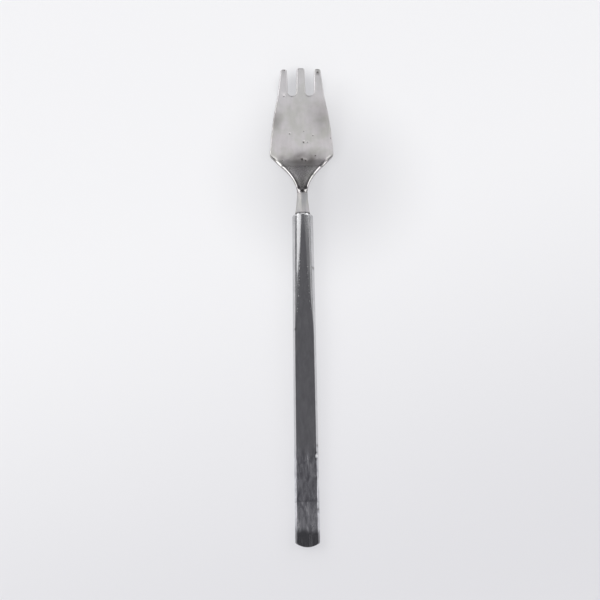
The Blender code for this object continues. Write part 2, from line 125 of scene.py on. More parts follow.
def boolean(piece, tool, operation):
    cut = piece.modifiers.new(operation.lower(), "BOOLEAN")
    cut.object = tool
    cut.operation = operation
    cut.solver = "EXACT"


sliver = 0.005   # millimetres; shorter edges, which the cuts leave, are closed up


def applyModifiers(piece):
    shaped = piece.evaluated_get(bpy.context.evaluated_depsgraph_get())
    mesh = bpy.data.meshes.new_from_object(shaped)
    body = bmesh.new()
    body.from_mesh(mesh)
    bmesh.ops.dissolve_degenerate(body, dist=sliver, edges=body.edges[:])
    manySided = [face for face in body.faces if len(face.verts) > 4]
    bmesh.ops.triangulate(body, faces=manySided, ngon_method="BEAUTY")
    body.to_mesh(mesh)
    body.free()
    piece.modifiers.clear()
    old = piece.data
    piece.data = mesh
    bpy.data.meshes.remove(old)


# the head, drawn in millimetres from the middle of the handle's mouth, +Y to the tines

headSizes = {
    # neck
    "neckRun": 7.73, "neckMouthWidth": 5.3, "neckMouthThickness": 3.4, "neckWaistWidth": 3.8,
    "neckWaistThickness": 3.0, "neckFlare": 1.5, "neckSide": 0.6, "neckBendRadius": 7.0,
    # shoulder and bowl
    "shoulderDrop": math.radians(21.0), "shoulderLength": 16.5, "shoulderWidth": 23.2,
    "shoulderHollow": 6.8, "shoulderCorner": 1.0, "shoulderThickness": 2.1, "shoulderRound": 1.5,
    "stepRun": 2.4, "blendRun": 3.8, "dishDepth": 0.6, "dishRun": 3.0, "dishFade": 8.0,
    "foldBack": 2.5, "bowlRadius": 7.0, "bowlThickness": 1.9,
    # blade and tines
    "bladeRise": math.radians(13.0), "bladeLength": 31.8, "tipThickness": 1.3, "sideBulge": 0.45,
    "edgeRound": 0.45, "edgeFlat": 0.15, "roundFade": 1.7, "roundPast": 0.6,
    "middleTip": 2.9, "middleRoot": 3.4, "slotMouth": 3.5, "slotRoot": 3.0, "outerTip": 2.3,
    "outerRoot": 3.8, "tineLength": 10.0, "outerSetback": 0.35, "tineCorner": 0.85,
    # where the finish changes: buffed rims, brushed neck, shinier shoulder, painted shade in the joint
    "rimPast": 0.5, "rimFade": 1.5, "rimStart": 1.0, "neckPast": 0.3, "neckFade": 0.6,
    "shoulderBack": 0.5, "shoulderFade": 2.0, "jointShadeRun": 0.45, "jointShadeFade": 0.35, "jointShadeShare": 0.45,
    # mesh
    "pointSpacing": 0.42, "pointRoom": 0.15, "leastColumns": 6, "edgeSpacing": 0.3, "edgeLoops": 7,
    "shoulderSteps": 64, "cornerSteps": 10, "sideSteps": 70, "tineSteps": 9, "rootSteps": 22,
    "leastStep": 0.03, "mergeDistance": 0.0001, "pitRings": 5, "pitPoints": 14, "pitRoom": 1.25,
    "sharpAngle": math.radians(38.0),
}

# pits left by years of use: across, along from the mouth, radius, depth
headPits = [
    (-6.1, 45.8, 0.30, 0.10), (-4.2, 32.2, 0.34, 0.11), (0.9, 33.0, 0.24, 0.07),
    (4.2, 31.5, 0.28, 0.08), (0.8, 29.1, 0.50, 0.14), (2.2, 29.1, 0.24, 0.07),
    (10.6, 30.4, 0.26, 0.08), (0.2, 23.0, 0.75, 0.15), (1.5, 22.5, 0.60, 0.13),
    (0.0, 8.6, 0.75, 0.08), (5.0, 24.2, 0.34, 0.09), (-4.4, 18.6, 0.40, 0.09),
    (-7.0, 22.6, 0.30, 0.08), (6.2, 54.4, 0.50, 0.10), (-5.9, 55.2, 0.34, 0.08),
]

# clouded patches: across, along, half width, half length, strength
headStains = [
    (-9.6, 37.2, 4.2, 5.5, 0.6), (7.0, 38.0, 6.5, 8.5, 0.45), (1.0, 23.0, 7.5, 3.0, 0.95),
    (0.6, 22.6, 8.0, 2.2, 0.8), (0.0, 10.5, 4.5, 5.0, 0.6), (2.0, 23.0, 11.0, 5.2, 0.7),
    (-7.0, 23.6, 2.5, 1.4, 0.5), (6.3, 54.2, 1.0, 1.8, 0.7),
]

h = headSizes
bendEnd = h["neckRun"] + h["neckBendRadius"] * math.sin(h["shoulderDrop"])
bowlLine = h["neckRun"] + h["shoulderLength"]   # widest place
foldLine = bowlLine - h["foldBack"]             # bottom of the bowl
bowlStart = foldLine - h["bowlRadius"] * math.sin(h["shoulderDrop"])
bowlEnd = foldLine + h["bowlRadius"] * math.sin(h["bladeRise"])
tipLine = bowlLine + h["bladeLength"]
rootLine = tipLine - h["tineLength"]
bendFall = h["neckBendRadius"] * (1.0 - math.cos(h["shoulderDrop"]))
bowlFall = bendFall + (bowlStart - bendEnd) * math.tan(h["shoulderDrop"])
bowlDepth = bowlFall + h["bowlRadius"] * (1.0 - math.cos(h["shoulderDrop"]))
bowlRise = h["bowlRadius"] * (1.0 - math.cos(h["bladeRise"]))


def sideProfile(y):
    # height of the blank's middle and its slope
    if y <= h["neckRun"]:
        return 0.0, 0.0
    if y <= bendEnd:
        angle = -math.asin((y - h["neckRun"]) / h["neckBendRadius"])
        return -h["neckBendRadius"] * (1.0 - math.cos(angle)), angle
    if y <= bowlStart:
        return -bendFall - (y - bendEnd) * math.tan(h["shoulderDrop"]), -h["shoulderDrop"]
    if y <= bowlEnd:
        angle = math.asin((y - foldLine) / h["bowlRadius"])
        return -bowlDepth + h["bowlRadius"] * (1.0 - math.cos(angle)), angle
    return -bowlDepth + bowlRise + (y - bowlEnd) * math.tan(h["bladeRise"]), h["bladeRise"]


def neckFlare(y):
    return max(1.0 - y / h["neckRun"], 0.0) ** h["neckFlare"]


def neckHalfWidth(y):
    return (h["neckWaistWidth"] + (h["neckMouthWidth"] - h["neckWaistWidth"]) * neckFlare(y)) / 2.0


def halfThickness(y):
    neck = h["neckWaistThickness"] + (h["neckMouthThickness"] - h["neckWaistThickness"]) * neckFlare(y)
    if y <= bowlLine:
        share = max(y - h["neckRun"], 0.0) / (bowlLine - h["neckRun"])
        blank = h["shoulderThickness"] + (h["bowlThickness"] - h["shoulderThickness"]) * share
    else:
        share = (y - bowlLine) / h["bladeLength"]
        blank = h["bowlThickness"] + (h["tipThickness"] - h["bowlThickness"]) * share
    return (neck + (blank - neck) * smoothStep((y - h["neckRun"]) / h["stepRun"])) / 2.0


def edgeRound(y):
    share = smoothStep((bowlLine + h["roundPast"] - y) / h["roundFade"])
    return h["edgeRound"] + (h["shoulderRound"] - h["edgeRound"]) * share


def headOutline():
    # right half, from the joint with the handle round to the middle tine
    waist = h["neckWaistWidth"] / 2.0
    steps = math.ceil(h["neckRun"] / h["edgeSpacing"])
    neck = [(neckHalfWidth(h["neckRun"] * i / steps), h["neckRun"] * i / steps) for i in range(steps)]

    rootRadius = h["slotRoot"] / 2.0
    middleRoot = (h["middleRoot"] / 2.0, rootLine + rootRadius)
    outerRoot = (middleRoot[0] + h["slotRoot"], middleRoot[1])
    rootSide = (outerRoot[0] + h["outerRoot"], rootLine)
    middleTip = (h["middleTip"] / 2.0, tipLine)
    innerTip = (middleTip[0] + h["slotMouth"], tipLine - h["outerSetback"])
    outerTip = (innerTip[0] + h["outerTip"], innerTip[1])

    corner = (h["shoulderWidth"] / 2.0, bowlLine)
    cornerSize, tipSize, tipSteps = h["shoulderCorner"], h["tineCorner"], h["tineSteps"]
    hollow = (waist, h["neckRun"] + h["shoulderHollow"])
    bow = ((corner[0] + rootSide[0]) / 2.0 + 2.0 * h["sideBulge"], (corner[1] + rootSide[1]) / 2.0)
    shoulder = curvePoints((waist, h["neckRun"]), hollow, towards(corner, hollow, cornerSize),
                           h["shoulderSteps"])
    shoulderCorner = cornerPoints(hollow, corner, bow, cornerSize, h["cornerSteps"])
    side = curvePoints(towards(corner, bow, cornerSize), bow, rootSide, h["sideSteps"])
    outerCorners = cornerPoints(rootSide, outerTip, innerTip, tipSize, tipSteps)
    outerCorners += cornerPoints(outerTip, innerTip, outerRoot, tipSize, tipSteps)
    tineSide = straightPoints(rootSide, outerCorners[0], h["edgeSpacing"])
    outerWall = straightPoints(outerCorners[-1], outerRoot, h["edgeSpacing"])
    rootArc = arcPoints((middleRoot[0] + rootRadius, middleRoot[1]), rootRadius, 0.0, -math.pi,
                        h["rootSteps"])
    middleCorner = cornerPoints(middleRoot, middleTip, (0.0, tipLine), tipSize, tipSteps)
    middleWall = straightPoints(middleRoot, middleCorner[0], h["edgeSpacing"])
    middleEnd = straightPoints(middleCorner[-1], (0.0, tipLine), h["edgeSpacing"])[:-1]

    path = []
    for run in (neck, shoulder, shoulderCorner, side, tineSide, outerCorners, outerWall, rootArc,
                middleWall, middleCorner, middleEnd):
        for point in run:
            if not path or math.dist(path[-1], point) > h["leastStep"]:
                path.append(point)
    return path


def insetLoop(loop, share):
    moved = []
    for i, point in enumerate(loop):
        before, after = loop[i - 1], loop[(i + 1) % len(loop)]
        along = Vector((after[0] - before[0], after[1] - before[1])).normalized()
        distance = edgeRound(point[1]) * share
        moved.append((point[0] - along.y * distance, point[1] + along.x * distance))
    return moved


atOnce = 1500   # points measured at a time, to save memory


def distanceToPath(points, path):
    starts = np.asarray(path[:-1])[None, :, :]
    runs = np.asarray(path[1:])[None, :, :] - starts
    lengths = (runs * runs).sum(2)
    found = []
    for block in np.array_split(np.asarray(points), max(len(points) // atOnce, 1)):
        places = block[:, None, :]
        share = np.clip(((places - starts) * runs).sum(2) / lengths, 0.0, 1.0)
        nearest = starts + runs * share[:, :, None]
        found.append(np.sqrt(((places - nearest) ** 2).sum(2)).min(1))
    return np.concatenate(found)


def headSurface(x, y, edgeDistance, width):
    # lower and upper height of the formed blank
    middle, slope = sideProfile(y)
    half = halfThickness(y) / math.cos(slope)
    onBlank = smoothStep((y - h["neckRun"]) / h["blendRun"])
    rounding = edgeRound(y)
    run = width + (rounding - width) * onBlank
    drop = (half - h["neckSide"] / 2.0) * (1.0 - onBlank) + min(rounding, half - h["edgeFlat"]) * onBlank
    inside = min(edgeDistance / run, 1.0)
    crown = half - drop * (1.0 - math.sqrt(1.0 - (1.0 - inside) ** 2))
    dish = h["dishDepth"] * min((x / width) ** 2, 1.0)
    dish *= smoothStep((y - h["neckRun"]) / h["dishRun"])
    dish *= smoothStep((bowlLine - y) / h["dishFade"])
    return middle + dish - crown, middle + dish + crown


def pitShare(x, y):
    # how deep a point lies in the pits, and how near the bottom of one
    sunk, share = 0.0, 0.0
    for across, along, radius, depth in headPits:
        near = math.hypot(x - across, y - along) / radius
        if near < 1.0:
            bowl = (1.0 - near * near) ** 2
            sunk += depth * bowl
            share = max(share, bowl)
    return sunk, share


def stainShare(x, y):
    clear = 1.0
    for across, along, halfWidth, halfLength, strength in headStains:
        near = min(math.hypot((x - across) / halfWidth, (y - along) / halfLength), 1.0)
        clear *= 1.0 - strength * (1.0 - near * near) ** 2
    return 1.0 - clear


def headLayout(outline, widths):
    # points seen from above: loops along the rounded edge, an even field, rings in the pits
    loops = [outline]
    for loop in range(1, h["edgeLoops"] + 1):
        loops.append(insetLoop(outline, 1.0 - math.cos(loop / h["edgeLoops"] * math.pi / 2.0)))
    points = [point for loop in loops for point in loop]
    edges = []
    for number, loop in enumerate(loops):
        first = number * len(outline)
        edges += [(first + i, first + (i + 1) % len(loop)) for i in range(len(loop))]

    field = []
    rows = math.ceil(tipLine / h["pointSpacing"])
    for row in range(1, rows):
        y = tipLine * row / rows
        halfWidth = np.interp(y, widths[:, 1], widths[:, 0])
        columns = max(math.ceil(halfWidth / h["pointSpacing"]), h["leastColumns"])
        field += [(halfWidth * column / columns, y) for column in range(1 - columns, columns)]
    room = distanceToPath(field, outline + outline[:1])
    for (x, y), gap in zip(field, room):
        clear = all(math.hypot(x - pit[0], y - pit[1]) > h["pitRoom"] * pit[2] for pit in headPits)
        if clear and gap > edgeRound(y) + h["pointRoom"]:
            points.append((x, y))

    steps = h["pitPoints"] - 1
    lastTurn = math.tau * steps / h["pitPoints"]
    for across, along, radius, _ in headPits:
        points.append((across, along))
        for ring in range(1, h["pitRings"] + 1):
            points += arcPoints((across, along), radius * ring / h["pitRings"], 0.0, lastTurn, steps)
    return points, edges


def buildHead():
    right = headOutline()
    edge = right + [(0.0, tipLine)] + [(-x, y) for x, y in reversed(right)]
    jointHalf = right[0][0]
    steps = math.ceil(2.0 * jointHalf / h["edgeSpacing"])
    outline = edge + [(jointHalf * (2.0 * i / steps - 1.0), 0.0) for i in range(1, steps)]
    widths = np.asarray([point for point in right if point[1] <= rootLine])
    points, edges = headLayout(outline, widths)
    insideOnly = 1   # keeps the triangles inside the outline, so none in the slots
    flat = delaunay_2d_cdt([Vector(point) for point in points], edges, [], insideOnly, h["mergeDistance"])
    places, faces = flat[0], flat[2]
    reach = distanceToPath([tuple(place) for place in places], edge)

    body = bmesh.new()
    marks = {}   # what the material reads at each point
    for name in ("pit", "worn", "neck", "shoulder", "stain", "jointShade"):
        marks[name] = body.verts.layers.float.new(name)
    lower, upper = [], []
    for place, gap in zip(places, reach):
        x, y = place
        low, high = headSurface(x, y, gap, float(np.interp(y, widths[:, 1], widths[:, 0])))
        sunk, pitted = pitShare(x, y)
        worn = smoothStep((bowlLine + h["rimPast"] - y) / h["rimFade"])
        worn *= smoothStep((y - h["neckRun"]) / h["rimStart"])
        worn *= 1.0 - min(gap / edgeRound(y), 1.0)
        onNeck = smoothStep((h["neckRun"] + h["neckPast"] - y) / h["neckFade"])
        # painted shade darkening the neck beside its joint with the handle
        jointShade = h["jointShadeShare"] * smoothStep((h["jointShadeRun"] - y) / h["jointShadeFade"])
        under = body.verts.new((x, y, low))
        over = body.verts.new((x, y, high - sunk))
        for point in (under, over):
            point[marks["worn"]] = worn
            point[marks["neck"]] = onNeck
            point[marks["jointShade"]] = jointShade
        over[marks["pit"]] = pitted
        over[marks["shoulder"]] = smoothStep((foldLine - h["shoulderBack"] - y) / h["shoulderFade"])
        over[marks["stain"]] = stainShare(x, y)
        lower.append(under)
        upper.append(over)
    for face in faces:
        body.faces.new([upper[i] for i in face])
        body.faces.new([lower[i] for i in reversed(face)])
    twin = {id(top): bottom for top, bottom in zip(upper, lower)}
    for side in [side for side in body.edges if side.is_boundary and id(side.verts[0]) in twin]:
        start, end = side.verts
        body.faces.new((start, end, twin[id(end)], twin[id(start)]))
    return newPiece("forged_head", body)


# the handle: two pressed halves, brazed along a seam at mid-thickness, in the head's millimetres

handleSizes = {
    "length": 122.95, "mouthWidth": 7.35, "tailWidth": 8.4, "widthFade": 2.0,
    "mouthThickness": 4.4, "tailThickness": 3.2, "wall": 0.6,
    # slanted sides, then a rounded brow and a bevel that fade out from the mouth
    "mouthSlant": 0.92, "tailSlant": 0.68, "tailSide": 0.45, "tailSideRun": 6.0, "sideBow": 0.46,
    "browWidth": 0.68, "browLeast": 0.06, "browFade": 0.35,
    "browFoot": math.radians(45.0), "browTop": math.radians(33.0),
    "bevelWidth": 1.4, "bevelLeast": 0.08, "bevelRun": 46.0, "bevelFade": 1.5, "slopeLeast": 0.1,
    "bevelFoot": math.radians(25.0), "bevelCrown": math.radians(11.0), "edgeBreak": 0.3,
    # mouth, tail and seam
    "chamferRun": 0.85, "chamferDrop": 0.51, "lipLevel": 0.75, "lipStart": 0.5, "lipFade": 0.4,
    "mouthCorner": 1.2, "jointGap": 0.15, "tailBulge": 1.3, "tailCorner": 1.0,
    "tailUndercut": 1.5, "topLean": 1.0 / 3.0, "seamGap": 0.1, "seamBreak": 0.06,
    # rubbed folds, along from the mouth
    "foldsFrom": -40.0, "foldsToRight": -20.0, "foldsToLeft": -9.0,
    # mesh
    "stations": 220, "cornerSteps": 12, "sideLevels": 5, "browLevels": 5, "bevelLevels": 9,
    "edgeLevels": 3, "ringLeast": 0.02, "sharpAngle": math.radians(25.0),
}

# nicks along the edges: side, along from the mouth, in from the widest place, radius
handleNicks = [
    (-1, -44.4, 0.8, 0.55), (1, -21.2, 0.45, 0.6), (1, -87.1, 0.3, 0.6), (1, -98.6, 1.2, 1.0),
    (1, -92.0, 0.8, 0.7), (1, -89.6, 0.8, 0.6), (1, -109.9, 0.4, 0.7),
]
handleGlintScrapes = [(1, -90.8, 0.5, 0.8)]   # metal scraped bare, painted pale as a glint: a painted highlight

g = handleSizes
handleFront = -g["jointGap"]
handleBack = handleFront - g["length"]


def handleHalfWidth(y):
    share = min(max(1.0 + y / g["length"], 0.0), 1.0)
    return (g["tailWidth"] - (g["tailWidth"] - g["mouthWidth"]) * share ** g["widthFade"]) / 2.0


def handleHalfHeight(y):
    share = 1.0 + y / g["length"]
    return (g["tailThickness"] + (g["mouthThickness"] - g["tailThickness"]) * share) / 2.0


def handlePlan():
    # right half of the outline, from the middle of the mouth round to the middle of the tail
    corner, steps = g["mouthCorner"], g["cornerSteps"]
    frontHalf = handleHalfWidth(handleFront)
    plan = arcPoints((frontHalf - corner, handleFront - corner), corner, math.pi / 2.0, 0.0, steps)
    tailHalf = g["tailWidth"] / 2.0
    radius = (tailHalf ** 2 + g["tailBulge"] ** 2) / (2.0 * g["tailBulge"])
    centreY = handleBack + radius
    cornerX = handleHalfWidth(handleBack) - g["tailCorner"]
    cornerY = centreY - math.sqrt((radius - g["tailCorner"]) ** 2 - cornerX ** 2)
    turn = math.atan2(cornerY - centreY, cornerX)
    start = handleFront - corner
    for i in range(1, g["stations"]):
        y = start + (cornerY - start) * i / g["stations"]
        plan.append((handleHalfWidth(y), y))
    plan += arcPoints((cornerX, cornerY), g["tailCorner"], 0.0, turn, steps)
    plan += arcPoints((0.0, centreY), radius, turn, -math.pi / 2.0, steps)[1:]
    return [(max(x, 0.0), y) for x, y in plan]


def handleSection(y):
    # inset from the widest place and height, from the seam over side, brow and bevel to the flat
    top, seam = handleHalfHeight(y), g["seamGap"] / 2.0
    toTail = smoothStep((handleBack + g["tailSideRun"] - y) / g["tailSideRun"])
    near = max(1.0 - (handleFront - y) / g["bevelRun"], 0.0)   # share of the bevel that is left
    slant = g["tailSlant"] + (g["mouthSlant"] - g["tailSlant"]) * near
    side = slant + (g["tailSide"] - slant) * toTail
    brow = g["browLeast"] + g["browWidth"] * smoothStep(near / g["browFade"])
    bevel = g["bevelLeast"] + g["bevelWidth"] * near
    edge = g["edgeBreak"]
    browEnd = side + brow
    bevelEnd = browEnd + bevel
    steep, eased = math.tan(g["browFoot"]), math.tan(g["browTop"])
    foot = math.tan(g["bevelFoot"]) * max(near ** g["bevelFade"], g["slopeLeast"])
    crown = math.tan(g["bevelCrown"]) * max(near, g["slopeLeast"])
    high = top - crown * edge / 2.0
    middle = high - bevel * (foot + crown) / 2.0
    low = middle - brow * (steep + eased) / 2.0
    first = seam + g["seamBreak"]
    points = [(g["seamBreak"], seam)]
    points += curvePoints((0.0, first), (g["sideBow"] * side, (first + low) / 2.0), (side, low),
                          g["sideLevels"])
    points += curvePoints((side, low), (side + brow / 2.0, low + steep * brow / 2.0), (browEnd, middle),
                          g["browLevels"])[1:]
    points += curvePoints((browEnd, middle), (browEnd + bevel / 2.0, middle + foot * bevel / 2.0),
                          (bevelEnd, high), g["bevelLevels"])[1:]
    points += curvePoints((bevelEnd, high), (bevelEnd + edge / 2.0, top), (bevelEnd + edge, top),
                          g["edgeLevels"])[1:]
    atMouth = max(1.0 - (handleFront - y) / g["chamferRun"], 0.0)   # chamfered lip of the mouth
    section = []
    for inset, height in points:
        share = height / top
        levelled = g["lipLevel"] * atMouth * smoothStep((share - g["lipStart"]) / g["lipFade"])
        fall = (top - height) * (1.0 - levelled)
        section.append((inset, max(top - fall - g["chamferDrop"] * atMouth * share, seam)))
    return section


def handleRings(wall):
    # closed rings from the seam to the flat; with a wall, those of the hollow inside
    plan = handlePlan()
    front, back = plan[0][1], plan[-1][1]
    rings = []
    for level in range(len(handleSection(0.0))):
        ring = []
        for x, y in plan:
            inset, height = handleSection(y)[level]
            along = (front - y) / (front - back)
            upward = height / handleHalfHeight(y)
            moved, marks = y, (y, inset, level)
            if wall:
                inset, height = inset + wall, max(height - wall * upward, g["seamGap"] / 2.0)
                moved = y - wall * (1.0 - along) + (wall + g["tailUndercut"]) * along
            narrowed = max(1.0 - inset / handleHalfWidth(y), g["ringLeast"])
            ring.append((x * narrowed, moved, height, along, upward, marks))
        rings.append(ring)
    return rings


def capRing(body, ring):
    last = len(ring) - 1
    for i in range(len(ring) // 2):
        body.faces.new(list(dict.fromkeys([ring[i], ring[i + 1], ring[last - i - 1], ring[last - i]])))


def nickShare(nicks, hand, y, inset):
    share = 0.0
    for side, along, across, radius in nicks:
        if side == hand:
            share = max(share, 1.0 - math.hypot(y - along, inset - across) / radius)
    return share


def addRings(body, rings, side, hollow):
    layers = body.verts.layers.float
    crease = layers.get("crease") or layers.new("crease")
    nick = layers.get("nick") or layers.new("nick")
    glintScrape = layers.get("glintScrape") or layers.new("glintScrape")
    browFold = 1 + g["sideLevels"]
    bevelFold = browFold + g["browLevels"] + g["bevelLevels"]
    made = []
    for ring in rings:
        row = []
        for hand, points in ((1, ring), (-1, ring[-2::-1])):
            foldsTo = g["foldsToRight"] if hand > 0 else g["foldsToLeft"]
            for x, y, z, along, upward, (place, inset, level) in points:
                # the tail's end leans in under the top, so that from above the flat runs to the edge
                lean = g["topLean"] * (1.0 - upward)
                if side < 0:
                    lean = g["topLean"] + (1.0 - g["topLean"]) * upward
                moved = y if hollow else y + g["tailUndercut"] * lean * along
                point = body.verts.new((hand * x, moved, side * z))
                if not hollow and side > 0 and ring is not rings[-1]:
                    folded = level in (browFold, bevelFold, bevelFold + 1)
                    point[crease] = float(folded and g["foldsFrom"] < place < foldsTo)
                    point[nick] = nickShare(handleNicks, hand, place, inset)
                    point[glintScrape] = nickShare(handleGlintScrapes, hand, place, inset)
                row.append(point)
        made.append(row)
    for lower, upper in zip(made, made[1:]):
        joinRings(body, lower, upper)
    capRing(body, made[-1])
    return made


def buildShell(name, side):
    body = bmesh.new()
    outside = addRings(body, handleRings(0.0), side, False)
    hollow = handleRings(g["wall"])
    hollow = [ring for ring in hollow if ring is hollow[0] or min(p[2] for p in ring) > g["seamGap"]]
    inside = addRings(body, hollow, side, True)
    joinRings(body, outside[0], inside[0])
    return newPiece(name, body)


# the tang behind the neck, hidden in the handle

tangSizes = {
    "halfWidth": 0.85, "halfHeight": 0.55, "length": 52.0, "socket": 3.0, "room": 0.2,
    "notch": 0.5, "notches": 4, "notchSteps": 8, "endSteps": 6,
}


def buildTang(name, room):
    t = tangSizes
    halfWidth = t["halfWidth"] + room
    end = -t["length"] - room
    side = [(halfWidth, t["socket"])]
    for notch in range(1, t["notches"] + 1):
        centre = (halfWidth, -t["length"] * notch / (t["notches"] + 1))
        side += arcPoints(centre, t["notch"], math.pi / 2.0, 1.5 * math.pi, t["notchSteps"])
    side += cornerPoints(side[-1], (halfWidth, end), (0.0, end), t["halfWidth"], t["endSteps"])
    outline = side + [(-x, y) for x, y in reversed(side)]
    body = bmesh.new()
    low = [body.verts.new((x, y, -t["halfHeight"] - room)) for x, y in outline]
    high = [body.verts.new((x, y, t["halfHeight"] + room)) for x, y in outline]
    joinRings(body, low, high)
    body.faces.new(low)
    body.faces.new(high)
    return newPiece(name, body)


def lowest(points, tilt):
    return float((points[:, 1] * math.sin(tilt) + points[:, 2] * math.cos(tilt)).min())


def meshPoints(piece):
    flat = np.empty(len(piece.data.vertices) * 3)
    piece.data.vertices.foreach_get("co", flat)
    return flat.reshape(-1, 3)


tiltTries = 40   # each halves the step


def tableMatrix(headPoints, handlePoints):
    # tilt until bowl and tail touch the table, then centre on the origin, in metres
    tilt, turn = 0.0, h["shoulderDrop"]
    for _ in range(tiltTries):
        tilt += turn if lowest(headPoints, tilt) < lowest(handlePoints, tilt) else -turn
        turn /= 2.0
    every = np.concatenate([headPoints, handlePoints])
    along = every[:, 1] * math.cos(tilt) - every[:, 2] * math.sin(tilt)
    place = Matrix.Translation((0.0, -(along.min() + along.max()) / 2.0, -lowest(every, tilt)))
    return Matrix.Scale(mm, 4) @ place @ Matrix.Rotation(tilt, 4, "X")


head = buildHead()
upperShell = buildShell("handle_top_half", 1)
lowerShell = buildShell("handle_bottom_half", -1)
print("head", len(head.data.vertices), "points, shells", len(upperShell.data.vertices), "points each")

onTable = tableMatrix(meshPoints(head), np.concatenate([meshPoints(upperShell), meshPoints(lowerShell)]))
tang = buildTang("tang_bar", 0.0)
socket = buildTang("tang_socket", tangSizes["room"])
boolean(head, tang, "UNION")
for shell in (upperShell, lowerShell):
    boolean(shell, socket, "DIFFERENCE")
for piece, sizes in ((head, h), (upperShell, g), (lowerShell, g)):
    applyModifiers(piece)
    piece.data.transform(onTable)
    piece.data.shade_smooth()
    piece.data.set_sharp_from_angle(angle=sizes["sharpAngle"])
for tool in (tang, socket):
    bpy.data.objects.remove(tool, do_unlink=True)
print("head and handle formed and set on the table")


# materials; sizes of patterns and places along the fork are in millimetres, places from its middle

def newMaterial(name):
    material = bpy.data.materials.new(name)
    material.use_nodes = True
    tree = material.node_tree
    return material, tree, tree.nodes["Principled BSDF"]


satinFinish = {
    "steel": "cfcdcd", "clouds": "bdb9b8", "cloudSize": 9.0,
    "strawTint": "bebeb7", "rosyTint": "d8d3d6", "tintSize": 5.0, "tintShare": 0.5,
    "tines": "e0e0e2", "tinesFrom": 70.0, "tinesTo": 86.0, "tineShare": 0.3,
    "streaks": "b2b2b4", "streakSize": (1.2, 9.0, 3.0), "bladeStreaks": 0.15, "neckStreaks": 0.9,
    "stains": "7f7b7a", "stainSize": 3.0, "pitsAndJointShade": "3f3b39",
    "grainSize": (0.4, 7.0, 0.4), "grainBump": 0.05, "grainDepth": 0.05, "grainRoughness": 0.1,
    "roughness": 0.36, "rimRoughness": 0.2, "shoulderPolish": -0.2, "neckBrushing": 0.45,
}


